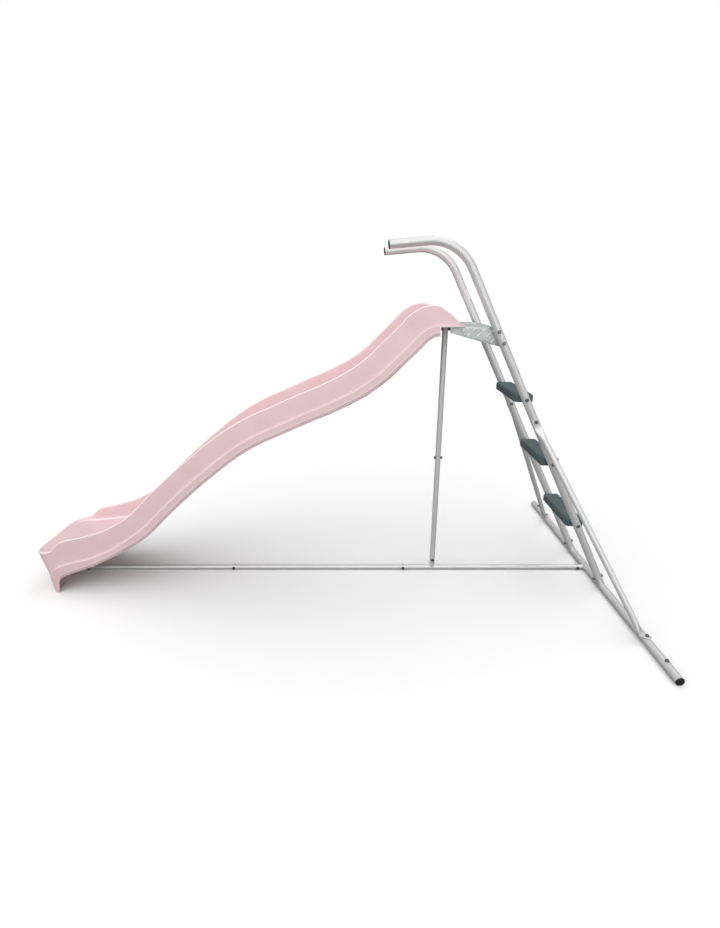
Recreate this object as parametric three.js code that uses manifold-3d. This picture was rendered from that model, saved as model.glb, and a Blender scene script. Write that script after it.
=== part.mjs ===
// Free-standing wave slide for a garden or a pool side.
// Millimetres, +Z up, ground at Z = 0. +X runs from the chute's exit to the ladder and the slide is
// symmetric about Y = 0. The origin is on the ground, in the middle of the slide's length.

import * as THREE from "three";
import { mergeVertices } from "three/addons/utils/BufferGeometryUtils.js";
import Module from "manifold-3d";

const wasm = await Module();
wasm.setup();

// ---------------------------------------------------------------- driving dimensions

const halfLength = 1525;

// The 38 mm tube of the ladder and base, and the 28 mm tube of the ground tube, post and braces.
const wideTube = { radius: 19, wall: 1.5, insert: 16.8, facets: 16 };
const slimTube = { radius: 14, wall: 1.5, insert: 11.8, facets: 12 };
const reducedEnd = 90; // length of a tube's narrowed end inside its neighbour
const gap = 0.3; // between pieces that touch
const boltHole = 4.6;
const capDepth = 6;

const base = { x: halfLength - wideTube.radius, z: wideTube.radius, halfWidth: 891, seam: 580 };
const braceFootY = 636;
const anchorY = 790;

const stile = { y: 195.5, footX: 1504, footZ: 25, lean: 27.24, seam: 1060, joint: 1022.4 };
const handrail = { bendRadius: 206, endX: 321, endZ: 1707, droop: 4.8 };

const ground = { z: slimTube.radius, frontX: -1392, seamA: -509, seamB: 477 };
// How far each cross bolt of the ground tube sits from the end of its tube.
const groundBolt = { front: 30, seamA: 18, seamB: 28, base: 50 };
const post = { x: 617, stubTop: 105, baseBoltZ: 66, seamZ: 722, jointZ: 683, topBoltZ: 1345 };

const deck = { top: 1368, thickness: 2.5, frontX: 612, rearX: 806, lip: 30 };
const step = { depth: 88, height: 36, corner: 9, heights: [383, 718, 1039], wall: 4, endWall: 6 };

const chute = { skin: 5, bedHalf: 186, rimIn: 194, rimOut: 213, shoulder: 219, flange: 235 };
const tongueEndX = 680;
const flangeEndX = 560;
const foot = { topX: -halfLength, topZ: 206, bottomX: -1425, halfWidth: 226, boltZ: 62, boltY: 55 };

// ---------------------------------------------------------------- materials

const material = (color, roughness, metalness) =>
  new THREE.MeshStandardMaterial({ color, roughness, metalness });

const paintedSteel = material(0xbcbcbc, 0.45, 0.1);
const treadSteel = material(0xb2b8b6, 0.5, 0.2);
const zincSteel = material(0x8c8c8a, 0.4, 0.9);
const blackPlastic = material(0x1b1b1c, 0.6, 0);
const stepPlastic = material(0x5c6b70, 0.6, 0);
const chutePlastic = material(0xe3c3c8, 0.4, 0);

// ---------------------------------------------------------------- helpers

const slide = new THREE.Group();
const vec = (x, y, z) => new THREE.Vector3(x, y, z);
const up = vec(0, 0, 1);
const alongX = vec(1, 0, 0);
const alongY = vec(0, 1, 0);

function addPiece(name, shape, look) {
  const geometry = shape.isBufferGeometry ? shape : geometryOf(shape.asOriginal().simplify(0.01));
  const mesh = new THREE.Mesh(geometry, look);
  mesh.name = name;
  slide.add(mesh);
  return mesh;
}

// Merged positions only, as a solid that can be cut and joined.
function solidOf(geometry) {
  const plain = geometry.clone();
  plain.deleteAttribute("normal");
  plain.deleteAttribute("uv");
  const merged = mergeVertices(plain, 1e-3);
  return new wasm.Manifold(new wasm.Mesh({
    numProp: 3,
    vertProperties: new Float32Array(merged.attributes.position.array),
    triVerts: new Uint32Array(merged.index.array),
  }));
}

function geometryOf(solid) {
  const mesh = solid.getMesh();
  const geometry = new THREE.BufferGeometry();
  geometry.setAttribute("position", new THREE.BufferAttribute(new Float32Array(mesh.vertProperties), 3));
  geometry.setIndex(new THREE.BufferAttribute(new Uint32Array(mesh.triVerts), 1));
  geometry.computeVertexNormals();
  return geometry;
}

// Turns a geometry's own +Y onto a direction and moves its origin to a point.
function stand(geometry, point, direction) {
  const turn = new THREE.Quaternion().setFromUnitVectors(alongY, direction.clone().normalize());
  geometry.applyQuaternion(turn);
  geometry.translate(point.x, point.y, point.z);
  return geometry;
}

function boxAt(low, high) {
  const size = high.clone().sub(low);
  const middle = high.clone().add(low).multiplyScalar(0.5);
  return new THREE.BoxGeometry(size.x, size.y, size.z).translate(middle.x, middle.y, middle.z);
}

// Round shapes are drawn with flats that touch the true circle, and one flat faces down on a level
// tube, so it rests on the ground.
const cornerRadius = (radius, facets) => radius / Math.cos(Math.PI / facets);

function turned(profile, facets) {
  const points = profile.map(([r, h]) => new THREE.Vector2(cornerRadius(r, facets), h));
  return new THREE.LatheGeometry(points, facets, Math.PI / facets);
}

function rod(from, to, radius, facets = 16) {
  const length = from.distanceTo(to);
  const bar = turned([[0, 0], [radius, 0], [radius, length], [0, length]], facets);
  return stand(bar, from, to.clone().sub(from));
}

// A straight tube whose reduced ends, where it has them, slide into its neighbours.
function straightTube(from, to, size, startInsert = 0, endInsert = 0) {
  const length = from.distanceTo(to);
  const outer = size.radius;
  const inner = outer - size.wall;
  const narrow = size.insert;
  const narrowInner = narrow - size.wall;
  const taper = [6, 10]; // where the bore narrows, from the shoulder
  const profile = [];
  if (startInsert) profile.push([narrow, -startInsert], [narrow, 0]);
  profile.push([outer, 0], [outer, length]);
  if (endInsert) {
    profile.push([narrow, length], [narrow, length + endInsert], [narrowInner, length + endInsert]);
    profile.push([narrowInner, length - taper[0]]);
  }
  profile.push([inner, endInsert ? length - taper[1] : length]);
  profile.push([inner, startInsert ? taper[1] : 0]);
  if (startInsert) profile.push([narrowInner, taper[0]], [narrowInner, -startInsert]);
  profile.push(profile[0]);
  return stand(turned(profile, size.facets), from, to.clone().sub(from));
}

// A closed body through a row of rings with equal numbers of points.
function loft(rings, flatten) {
  const count = rings[0].length;
  const positions = rings.flat().flatMap((p) => [p.x, p.y, p.z]);
  const index = [];
  for (let ring = 0; ring < rings.length - 1; ring += 1) {
    for (let side = 0; side < count; side += 1) {
      const a = ring * count + side;
      const b = ring * count + (side + 1) % count;
      index.push(a, b, b + count, a, b + count, a + count);
    }
  }
  const last = (rings.length - 1) * count;
  const caps = THREE.ShapeUtils.triangulateShape(rings[0].map(flatten), []);
  const lastCaps = THREE.ShapeUtils.triangulateShape(rings.at(-1).map(flatten), []);
  const endTurn = THREE.ShapeUtils.area(rings[0].map(flatten)) > 0;
  caps.forEach(([a, b, c]) => index.push(...(endTurn ? [a, c, b] : [a, b, c])));
  lastCaps.forEach(([a, b, c]) => {
    index.push(...(endTurn ? [last + a, last + b, last + c] : [last + a, last + c, last + b]));
  });
  const geometry = new THREE.BufferGeometry();
  geometry.setAttribute("position", new THREE.Float32BufferAttribute(positions, 3));
  geometry.setIndex(index);
  return facingOut(geometry);
}

function facingOut(geometry) {
  const position = geometry.attributes.position;
  const index = geometry.index.array;
  const corner = (k) => vec().fromBufferAttribute(position, index[k]);
  let volume = 0;
  for (let k = 0; k < index.length; k += 3) {
    volume += corner(k).dot(corner(k + 1).cross(corner(k + 2)));
  }
  if (volume < 0) {
    for (let k = 0; k < index.length; k += 3) [index[k + 1], index[k + 2]] = [index[k + 2], index[k + 1]];
  }
  return geometry;
}

function drill(solid, point, direction, reach = 30) {
  const half = direction.clone().normalize().multiplyScalar(reach);
  const bit = rod(point.clone().sub(half), point.clone().add(half), boltHole, 6);
  return solid.subtract(solidOf(bit));
}

// A smooth height through a few points, read at any x between them.
function smooth(points) {
  const slope = points.map((p, i) => {
    const before = points[Math.max(i - 1, 0)];
    const after = points[Math.min(i + 1, points.length - 1)];
    return (after[1] - before[1]) / (after[0] - before[0]);
  });
  return (x) => {
    const found = points.findIndex((p) => p[0] >= x);
    const i = Math.max(found === -1 ? points.length - 1 : found, 1);
    const [x0, y0] = points[i - 1];
    const [x1, y1] = points[i];
    const span = x1 - x0;
    const t = THREE.MathUtils.clamp((x - x0) / span, 0, 1);
    const rise = (2 * t ** 3 - 3 * t ** 2 + 1) * y0 + (3 * t ** 2 - 2 * t ** 3) * y1;
    const bend = (t ** 3 - 2 * t ** 2 + t) * slope[i - 1] + (t ** 3 - t ** 2) * slope[i];
    return rise + bend * span;
  };
}

// ---------------------------------------------------------------- bolts

// Hexagon head with a flange, a plain shank and a nut. The head's seat is at the origin and the
// shank runs along +Y.
function boltGeometry(grip, headHeight = 6, headRadius = 7.2) {
  const flange = 9;
  const shank = 3.8;
  const nutHeight = 7;
  const profile = [
    [0, -headHeight], [headRadius, -headHeight], [headRadius, -2], [flange, 0],
    [shank, 0], [shank, grip], [7.2, grip], [7.2, grip + nutHeight], [0, grip + nutHeight],
  ];
  return turned(profile, 6);
}

function addBolt(name, seat, direction, grip, headHeight, headRadius) {
  const bolt = addPiece(name, boltGeometry(grip, headHeight, headRadius), zincSteel);
  bolt.position.copy(seat);
  bolt.quaternion.setFromUnitVectors(alongY, direction.clone().normalize());
}

// ---------------------------------------------------------------- ladder line

const lean = THREE.MathUtils.degToRad(stile.lean);
const stileDirection = vec(-Math.sin(lean), 0, Math.cos(lean));
const stileNormal = vec(Math.cos(lean), 0, Math.sin(lean));
const stilePoint = (t, side) =>
  vec(stile.footX, side * stile.y, stile.footZ).addScaledVector(stileDirection, t);
const stileAtHeight = (z, side) => stilePoint((z - stile.footZ) / stileDirection.z, side);

const sides = [["left", 1], ["right", -1]];
const seatOf = (size) => cornerRadius(size.radius, size.facets) + gap;
const wideSeat = seatOf(wideTube);
const slimSeat = seatOf(slimTube);
const treadHalfWidth = stile.y - wideSeat;
const stileBoltT = 52;

// ---------------------------------------------------------------- base tube

const baseAxis = (y) => vec(base.x, y, base.z);
const boreOf = (size) => size.radius - 0.8;

function baseCenter() {
  const ends = [baseAxis(-base.seam), baseAxis(base.seam)];
  let tube = solidOf(straightTube(...ends, wideTube, reducedEnd, reducedEnd));
  const bore = solidOf(rod(baseAxis(-400), baseAxis(400), boreOf(wideTube)));
  sides.forEach(([, side]) => {
    const stub = rod(stilePoint(0, side), stilePoint(80, side), wideTube.insert);
    tube = tube.add(solidOf(stub).subtract(bore));
    tube = drill(tube, stilePoint(stileBoltT, side), stileNormal);
  });
  const stubStart = vec(base.x - groundBolt.base - 26, 0, ground.z);
  const groundStub = rod(stubStart, vec(base.x - 8, 0, ground.z), slimTube.insert);
  tube = tube.add(solidOf(groundStub).subtract(bore));
  tube = drill(tube, vec(base.x - groundBolt.base, 0, ground.z), alongY);
  sides.forEach(([, side]) => {
    tube = drill(tube, vec(base.x, side * braceFootY, base.z + 20), up, 15);
  });
  return tube;
}

addPiece("base_tube_center", baseCenter(), paintedSteel);

sides.forEach(([name, side]) => {
  const inner = baseAxis(side * (base.seam + gap));
  const outer = baseAxis(side * (base.halfWidth - capDepth - gap));
  let tube = solidOf(straightTube(inner, outer, wideTube));
  tube = drill(tube, vec(base.x, side * braceFootY, base.z + 20), up, 15);
  tube = drill(tube, vec(base.x, side * anchorY, base.z + 20), up, 15);
  addPiece(`base_tube_end_${name}`, tube, paintedSteel);
});

// Plug with a slightly domed disc, its seat at the origin and its outside along +Y.
function capGeometry(size) {
  const plug = size.insert - 0.4;
  const profile = [[0, -20], [plug, -20], [plug, 0], [size.radius, 0], [size.radius, 4], [0, capDepth]];
  return turned(profile, size.facets);
}

function addCap(name, seat, direction, size) {
  const cap = addPiece(name, capGeometry(size), blackPlastic);
  cap.position.copy(seat);
  cap.quaternion.setFromUnitVectors(alongY, direction.clone().normalize());
}

sides.forEach(([name, side]) => {
  addCap(`base_cap_${name}`, baseAxis(side * (base.halfWidth - capDepth)), vec(0, side, 0), wideTube);
});

// ---------------------------------------------------------------- stiles and handrails

const lowStepHeights = step.heights.filter((z) => z < stilePoint(stile.seam, 1).z);
const highStepHeights = step.heights.filter((z) => z > stilePoint(stile.seam, 1).z);
const deckBoltHeights = [1297, 1347];

sides.forEach(([name, side]) => {
  let tube = solidOf(straightTube(stilePoint(0, side), stilePoint(stile.seam, side), wideTube));
  const saddle = rod(vec(base.x, side * 120, base.z), vec(base.x, side * 270, base.z), wideSeat);
  tube = tube.subtract(solidOf(saddle));
  tube = drill(tube, stilePoint(stileBoltT, side), stileNormal);
  tube = drill(tube, stilePoint(stile.joint, side), alongY);
  lowStepHeights.forEach((z) => { tube = drill(tube, stileAtHeight(z, side), alongY); });
  addPiece(`stile_lower_${name}`, tube, paintedSteel);
});

// The rail leaves the stile's line on an arc and runs almost level to its free end.
function handrailPath(side) {
  const droop = THREE.MathUtils.degToRad(handrail.droop);
  const railDirection = vec(-Math.cos(droop), 0, -Math.sin(droop));
  const end = vec(handrail.endX + capDepth, side * stile.y, handrail.endZ);
  const turn = stileDirection.angleTo(railDirection);
  const tangent = handrail.bendRadius * Math.tan(turn / 2);
  const foot = stilePoint(0, side);
  const across = end.clone().sub(foot);
  const cross = stileDirection.x * railDirection.z - stileDirection.z * railDirection.x;
  const cornerT = (across.x * railDirection.z - across.z * railDirection.x) / cross;
  const bendStart = stilePoint(cornerT - tangent, side);
  const inward = vec(-stileDirection.z, 0, stileDirection.x);
  const centre = bendStart.clone().addScaledVector(inward, handrail.bendRadius);
  const path = new THREE.CurvePath();
  path.add(new THREE.LineCurve3(stilePoint(stile.seam + gap, side), bendStart));
  let last = bendStart;
  const bendSteps = 7;
  for (let k = 1; k <= bendSteps; k += 1) {
    const point = bendStart.clone().sub(centre).applyAxisAngle(alongY, -turn * k / bendSteps).add(centre);
    path.add(new THREE.LineCurve3(last, point));
    last = point;
  }
  path.add(new THREE.LineCurve3(last, end));
  return { path, end, railDirection };
}

function ringShape(outer, inner) {
  const shape = new THREE.Shape().absarc(0, 0, outer, 0, 2 * Math.PI);
  shape.holes.push(new THREE.Path().absarc(0, 0, inner, 0, 2 * Math.PI, true));
  return shape;
}

// The rail's narrowed end below the seam, and the shoulder that joins it to the rail's bore.
const insertLength = 85;
const shoulderRadius = 18.2;
const insertBore = wideTube.insert - wideTube.wall;
const insertProfile = [
  [wideTube.insert, 0], [wideTube.insert, insertLength + 0.5], [shoulderRadius, insertLength + 2],
  [shoulderRadius, insertLength + 15], [insertBore, insertLength + 15], [insertBore, 0],
  [wideTube.insert, 0],
];

sides.forEach(([name, side]) => {
  const { path, end, railDirection } = handrailPath(side);
  const section = ringShape(wideTube.radius, wideTube.radius - wideTube.wall);
  const bent = new THREE.ExtrudeGeometry(section, { steps: 30, curveSegments: 8, extrudePath: path });
  const insert = stand(turned(insertProfile, wideTube.facets), stilePoint(stile.seam - insertLength, side),
    stileDirection);
  let tube = solidOf(bent).add(solidOf(insert));
  tube = drill(tube, stilePoint(stile.joint, side), alongY);
  highStepHeights.forEach((z) => { tube = drill(tube, stileAtHeight(z, side), alongY); });
  deckBoltHeights.forEach((z) => { tube = drill(tube, stileAtHeight(z, side), alongY); });
  addPiece(`handrail_${name}`, tube.asOriginal().simplify(0.1), paintedSteel);
  addCap(`handrail_cap_${name}`, end.clone().addScaledVector(railDirection, gap), railDirection, wideTube);
});

// ---------------------------------------------------------------- outer braces

// One ring of a tube that is pressed flat towards its ends.
function pressedRing(centre, wide, thin, halfWide, halfThin) {
  const ring = [];
  const count = slimTube.facets;
  for (let k = 0; k < count; k += 1) {
    const angle = 2 * Math.PI * k / count;
    const point = centre.clone().addScaledVector(wide, halfWide * Math.cos(angle));
    ring.push(point.addScaledVector(thin, halfThin * Math.sin(angle)));
  }
  return ring;
}

// Half the tab's width and thickness, then how the tube opens out from the fold: distance, half
// width and half thickness.
const halfTab = 18;
const halfThickness = 1.8;
const openingOut = [[12, 17.5, 3], [35, 16, 9], [58, 14.3, 13.2], [66, 13.8, 13.8]];
const tabLength = { top: 34, foot: 24 };

// A round-ended flat tab that opens out into the round tube. tabRun points from the tab's free end
// into the brace.
function pressedEnd(bolt, tabRun, tabNormal, tubeRun, length) {
  const wide = vec().crossVectors(tabNormal, tabRun).normalize();
  const tubeWide = wide.clone().addScaledVector(tubeRun, -wide.dot(tubeRun)).normalize();
  const tubeThin = vec().crossVectors(tubeRun, tubeWide).normalize();
  if (tubeThin.dot(tabNormal) < 0) tubeThin.negate();
  const rings = [-17, -14, -8, 0].map((d) => {
    const width = Math.sqrt(halfTab ** 2 - d ** 2);
    return pressedRing(bolt.clone().addScaledVector(tabRun, d), wide, tabNormal, width, halfThickness);
  });
  const fold = bolt.clone().addScaledVector(tabRun, length);
  rings.push(pressedRing(fold, wide, tabNormal, halfTab, halfThickness));
  openingOut.forEach(([d, halfWide, halfThin]) => {
    const centre = fold.clone().addScaledVector(tubeRun, d);
    rings.push(pressedRing(centre, tubeWide, tubeThin, halfWide, halfThin));
  });
  const flatten = (p) => {
    const offset = p.clone().sub(bolt);
    return new THREE.Vector2(offset.dot(wide), offset.dot(tabNormal));
  };
  return solidOf(loft(rings, flatten));
}

const tabGap = halfThickness * 2 + gap; // from the tube's seat to the tab's outer face
const braceRoundFrom = 60;
const drainHole = { fromFold: 82, radius: 3 };

sides.forEach(([name, side]) => {
  const tabCentreY = side * (stile.y + wideSeat + halfThickness);
  const joint = stilePoint(stile.joint, side);
  const top = vec(joint.x, tabCentreY, joint.z);
  const bottom = vec(base.x, side * braceFootY, base.z + wideSeat + halfThickness);
  const across = bottom.clone().sub(top);
  const topRun = vec(across.x, 0, across.z).normalize();
  const bottomRun = vec(-across.x, -across.y, 0).normalize();
  const topFold = top.clone().addScaledVector(topRun, tabLength.top);
  const bottomFold = bottom.clone().addScaledVector(bottomRun, tabLength.foot);
  const run = bottomFold.clone().sub(topFold).normalize();
  const head = pressedEnd(top, topRun, alongY, run, tabLength.top);
  const heel = pressedEnd(bottom, bottomRun, up, run.clone().negate(), tabLength.foot);
  const between = (inset, radius) => {
    const from = topFold.clone().addScaledVector(run, inset);
    return solidOf(rod(from, bottomFold.clone().addScaledVector(run, -inset), radius, slimTube.facets));
  };
  const hollow = between(braceRoundFrom + 10, slimTube.radius - slimTube.wall);
  const drain = bottomFold.clone().addScaledVector(run, -drainHole.fromFold);
  const drainEnd = drain.clone().addScaledVector(up, -30);
  let brace = between(braceRoundFrom, slimTube.radius).add(head).add(heel).subtract(hollow);
  brace = brace.subtract(solidOf(rod(drain, drainEnd, drainHole.radius, 6)));
  brace = drill(brace, top, alongY, 10);
  brace = drill(brace, bottom, up, 10);
  addPiece(`outer_brace_${name}`, brace, paintedSteel);
});

// ---------------------------------------------------------------- ground tube and post

const groundAt = (x) => vec(x, 0, ground.z);
const postAt = (z) => vec(post.x, 0, z);

let groundFront = solidOf(straightTube(groundAt(ground.frontX), groundAt(ground.seamA), slimTube));
groundFront = drill(groundFront, groundAt(ground.seamA - groundBolt.seamA), alongY);
groundFront = drill(groundFront, groundAt(ground.frontX + groundBolt.front), alongY);
addPiece("ground_tube_front", groundFront, paintedSteel);

const midFrom = groundAt(ground.seamA + gap);
const midTo = groundAt(ground.seamB);
let groundMid = solidOf(straightTube(midFrom, midTo, slimTube, reducedEnd));
groundMid = drill(groundMid, groundAt(ground.seamA - groundBolt.seamA), alongY);
groundMid = drill(groundMid, groundAt(ground.seamB - groundBolt.seamB), alongY);
addPiece("ground_tube_middle", groundMid, paintedSteel);

function groundRear() {
  const from = groundAt(ground.seamB + gap);
  const to = groundAt(base.x - wideSeat - gap);
  let tube = solidOf(straightTube(from, to, slimTube, reducedEnd));
  const bore = solidOf(rod(groundAt(post.x - 60), groundAt(post.x + 60), boreOf(slimTube)));
  const stub = rod(postAt(ground.z), postAt(post.stubTop), slimTube.insert);
  tube = tube.add(solidOf(stub).subtract(bore));
  tube = drill(tube, postAt(post.baseBoltZ), alongY);
  tube = drill(tube, groundAt(ground.seamB - groundBolt.seamB), alongY);
  return drill(tube, groundAt(base.x - groundBolt.base), alongY);
}

addPiece("ground_tube_rear", groundRear(), paintedSteel);

function postLower() {
  let tube = solidOf(straightTube(postAt(ground.z), postAt(post.seamZ), slimTube));
  const saddle = rod(groundAt(post.x - 40), groundAt(post.x + 40), slimSeat);
  const belowAxis = boxAt(vec(post.x - 25, -20, -5), vec(post.x + 25, 20, ground.z));
  tube = tube.subtract(solidOf(saddle)).subtract(solidOf(belowAxis));
  tube = drill(tube, postAt(post.baseBoltZ), alongY);
  return drill(tube, postAt(post.jointZ), alongX);
}

addPiece("post_lower", postLower(), paintedSteel);

const headPlate = {
  top: deck.top - deck.thickness - gap, thickness: 4, fromX: 594, toX: 680, halfWidth: 140,
};
const postTop = headPlate.top - headPlate.thickness - gap;
const postInsert = 80;
let postUpper = solidOf(straightTube(postAt(post.seamZ + gap), postAt(postTop), slimTube, postInsert));
postUpper = drill(postUpper, postAt(post.jointZ), alongX);
postUpper = drill(postUpper, postAt(post.topBoltZ), alongX);
addPiece("post_upper", postUpper, paintedSteel);

const chuteBolt = { x: 652, y: 112 };

function postHead() {
  const bottom = headPlate.top - headPlate.thickness;
  const { fromX, toX, halfWidth } = headPlate;
  const plate = boxAt(vec(fromX, -halfWidth, bottom), vec(toX, halfWidth, headPlate.top));
  const plug = rod(postAt(postTop - 66), postAt(bottom + 1), slimTube.insert);
  let head = solidOf(plate).add(solidOf(plug));
  head = drill(head, postAt(post.topBoltZ), alongX);
  sides.forEach(([, side]) => {
    head = drill(head, vec(chuteBolt.x, side * chuteBolt.y, headPlate.top), up, 10);
  });
  return head;
}

addPiece("post_head", postHead(), treadSteel);

// ---------------------------------------------------------------- platform

const skirtThickness = 3;

function platform() {
  const t = skirtThickness;
  const w = treadHalfWidth;
  let tray = solidOf(boxAt(vec(deck.frontX, -w, deck.top - deck.thickness), vec(deck.rearX, w, deck.top)));
  const lipBox = boxAt(vec(deck.rearX - t, -w, deck.top - deck.lip), vec(deck.rearX, w, deck.top));
  tray = tray.add(solidOf(lipBox));
  const ear = (z) => stileAtHeight(z, 0).x + 18;
  const outline = [
    [deck.frontX, deck.top], [deck.rearX, deck.top], [ear(1362), 1362], [ear(1276), 1276],
    [833, 1281], [761, 1299], [deck.frontX, 1341],
  ];
  const skirt = new THREE.Shape(outline.map(([x, z]) => new THREE.Vector2(x, z)));
  sides.forEach(([, side]) => {
    const sheet = new THREE.ExtrudeGeometry(skirt, { depth: t, bevelEnabled: false });
    sheet.rotateX(Math.PI / 2).translate(0, side > 0 ? w : t - w, 0);
    tray = tray.add(solidOf(sheet));
  });
  sides.forEach(([, side]) => {
    tray = drill(tray, vec(chuteBolt.x, side * chuteBolt.y, deck.top), up, 10);
    deckBoltHeights.forEach((z) => {
      const bolt = stileAtHeight(z, side);
      tray = drill(tray, vec(bolt.x, side * w, z), alongY, 12);
    });
  });
  return tray;
}

addPiece("platform", platform(), treadSteel);

// ---------------------------------------------------------------- steps

function roundedRectangle(width, height, corner) {
  const x = width / 2;
  const y = height / 2;
  const shape = new THREE.Shape();
  shape.absarc(x - corner, y - corner, corner, 0, Math.PI / 2);
  shape.absarc(corner - x, y - corner, corner, Math.PI / 2, Math.PI);
  shape.absarc(corner - x, corner - y, corner, Math.PI, 1.5 * Math.PI);
  shape.absarc(x - corner, corner - y, corner, 1.5 * Math.PI, 2 * Math.PI);
  return shape;
}

// A tread that is open underneath, with a rib across its middle.
function stepGeometry() {
  const half = treadHalfWidth;
  const section = roundedRectangle(step.depth, step.height, step.corner);
  const bar = new THREE.ExtrudeGeometry(section, {
    depth: 2 * half, bevelEnabled: false, curveSegments: 3,
  });
  let tread = solidOf(bar.rotateX(Math.PI / 2).translate(0, half, 0));
  const inside = step.depth / 2 - step.wall - 3;
  sides.forEach(([, side]) => {
    const near = side * step.wall;
    const far = side * (half - step.endWall);
    const low = vec(-inside, Math.min(near, far), -step.height);
    const high = vec(inside, Math.max(near, far), step.height / 2 - step.wall);
    tread = tread.subtract(solidOf(boxAt(low, high)));
    tread = drill(tread, vec(0, side * half, 0), alongY, 10);
  });
  return tread;
}

const stepNames = ["lower", "middle", "upper"];
step.heights.forEach((z, k) => {
  const tread = addPiece(`step_${stepNames[k]}`, stepGeometry(), stepPlastic);
  tread.position.copy(stileAtHeight(z, 0));
});

// ---------------------------------------------------------------- chute

const bedHeight = smooth([
  [-1525, 214], [-1445, 218], [-1360, 225], [-1213, 241], [-1111, 261], [-1012, 305], [-913, 370],
  [-784, 493], [-665, 601], [-550, 696], [-437, 783], [-354, 837], [-276, 878], [-182, 919],
  [-55, 976], [53, 1021], [201, 1096], [302, 1170], [366, 1232], [429, 1292], [485, 1348],
  [530, 1371], [575, 1373.6], [680, 1373.6],
]);
const wallHeight = smooth([
  [-1525, 1], [-1480, 8], [-1415, 18], [-1390, 40], [-1345, 66], [-1250, 78], [-1146, 90], [-1000, 95],
  [450, 95], [500, 96], [530, 92], [560, 80], [612, 44], [651, 11], [680, 1],
]);
const flangeDepth = smooth([
  [-1525, 260], [-1432, 260], [-1420, 222], [-1406, 158], [-1385, 134], [-1340, 118], [-1213, 86],
  [-1111, 56], [-1012, 45], [300, 45], [680, 45],
]);
const shoulderHeight = smooth([
  [-1525, -230], [-1470, -160], [-1444, -113], [-1421, -82], [-1366, -57], [-1226, -33], [-1118, -10],
  [-990, 8], [-900, 10], [680, 10],
]);
const widening = smooth([[-1525, 13], [-1440, 8], [-1380, 0], [580, 0], [620, -8], [680, -34]]);

// One half of the section, from the middle of the bed over the rim to the flange's lower edge and
// back inside the skin. Each point is a distance from the middle and a height above the bed.
function halfSection(x) {
  const h = wallHeight(x);
  const f = flangeDepth(x);
  const s = Math.min(shoulderHeight(x), h - 9);
  const edge = 18 - f;
  const w = widening(x);
  const t = chute.skin;
  const { bedHalf, rimIn, rimOut, shoulder, flange } = chute;
  return [
    [0, 0],
    [bedHalf - 20 + w, 0],
    [bedHalf + w, 0.25 * h],
    [rimIn + w, 0.93 * h],
    [rimIn + 5 + w, h],
    [rimOut - 5 + w, h],
    [rimOut + w, h - 5],
    [shoulder + Math.min(w, 6), s],
    [flange - 2 + Math.min(w, 0), s - 9],
    [flange + Math.min(w, 0), edge],
    [flange - 9 + Math.min(w, 0), -f],
    [flange - 9 - t + Math.min(w, 0), -f],
    [flange - t + Math.min(w, 0), edge],
    [flange - 2 - t + Math.min(w, 0), s - 13],
    [shoulder - t + Math.min(w, 6), s - 5],
    [rimOut - t - 1 + w, h - t - 1],
    [rimIn + t + 1 + w, h - t - 1],
    [bedHalf + t + w, 0.25 * h - 2],
    [bedHalf - 18 + w, -t],
    [0, -t],
  ];
}

function chuteRing(x) {
  const before = Math.max(x - 2, -halfLength);
  const after = Math.min(x + 2, tongueEndX);
  const slope = Math.atan2(bedHeight(after) - bedHeight(before), after - before);
  const half = halfSection(x);
  const point = ([y, n]) => vec(x - n * Math.sin(slope), y, bedHeight(x) + n * Math.cos(slope));
  const left = half.map(point);
  const right = half.slice(1, -1).reverse().map(([y, n]) => point([-y, n]));
  return [...left, ...right];
}

// The front panel slopes back from the exit's lip to the ground.
const footSlope = Math.atan2(foot.topZ, foot.bottomX - foot.topX);
const footNormal = vec(Math.sin(footSlope), 0, Math.cos(footSlope));
const footPoint = (side) =>
  vec(foot.bottomX - foot.boltZ / Math.tan(footSlope), side * foot.boltY, foot.boltZ);
const footSkin = chute.skin / Math.sin(footSlope);

// A side-view outline as a solid of a given half width.
function sideOutline(outline, halfWidth) {
  const shape = new THREE.Shape(outline.map(([x, z]) => new THREE.Vector2(x, z)));
  const slab = new THREE.ExtrudeGeometry(shape, { depth: 2 * halfWidth, bevelEnabled: false });
  return solidOf(slab.rotateX(Math.PI / 2).translate(0, halfWidth, 0));
}

// Everything in front of the foot's plane, moved back by an offset along X.
function aheadOfFoot(offset) {
  const bottom = foot.bottomX + offset;
  const top = foot.topX + offset;
  return sideOutline([[top, foot.topZ], [bottom, 0], [bottom, -40], [-1700, -40], [-1700, foot.topZ]], 300);
}

const spread = (from, to, count) => Array.from({ length: count }, (_, k) => from + (to - from) * k / count);

function chuteSolid() {
  const stations = [
    -1525, -1480, -1440, -1415, -1402, -1390, -1376, -1345, -1300,
    ...spread(-1250, 450, 21), ...spread(450, 680, 8), tongueEndX,
  ];
  let body = solidOf(loft(stations.map(chuteRing), (p) => new THREE.Vector2(p.y, p.z)));
  body = body.subtract(solidOf(boxAt(vec(flangeEndX, -300, 1200), vec(720, 300, deck.top + gap))));
  body = body.subtract(solidOf(boxAt(vec(-1650, -300, -400), vec(-1300, 300, 0))));
  body = body.subtract(aheadOfFoot(0));
  const apron = [
    [foot.topX, foot.topZ + 5], [foot.topX, foot.topZ], [foot.bottomX, 0], [foot.bottomX + footSkin, 0],
    [foot.topX + footSkin, foot.topZ], [foot.topX + footSkin, foot.topZ + 5],
  ];
  body = body.add(sideOutline(apron, foot.halfWidth));
  sides.forEach(([, side]) => {
    body = drill(body, vec(chuteBolt.x, side * chuteBolt.y, deck.top), up, 12);
    body = drill(body, footPoint(side), footNormal, 12);
  });
  return body;
}

addPiece("chute", chuteSolid(), chutePlastic);

// ---------------------------------------------------------------- chute foot bracket

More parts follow.
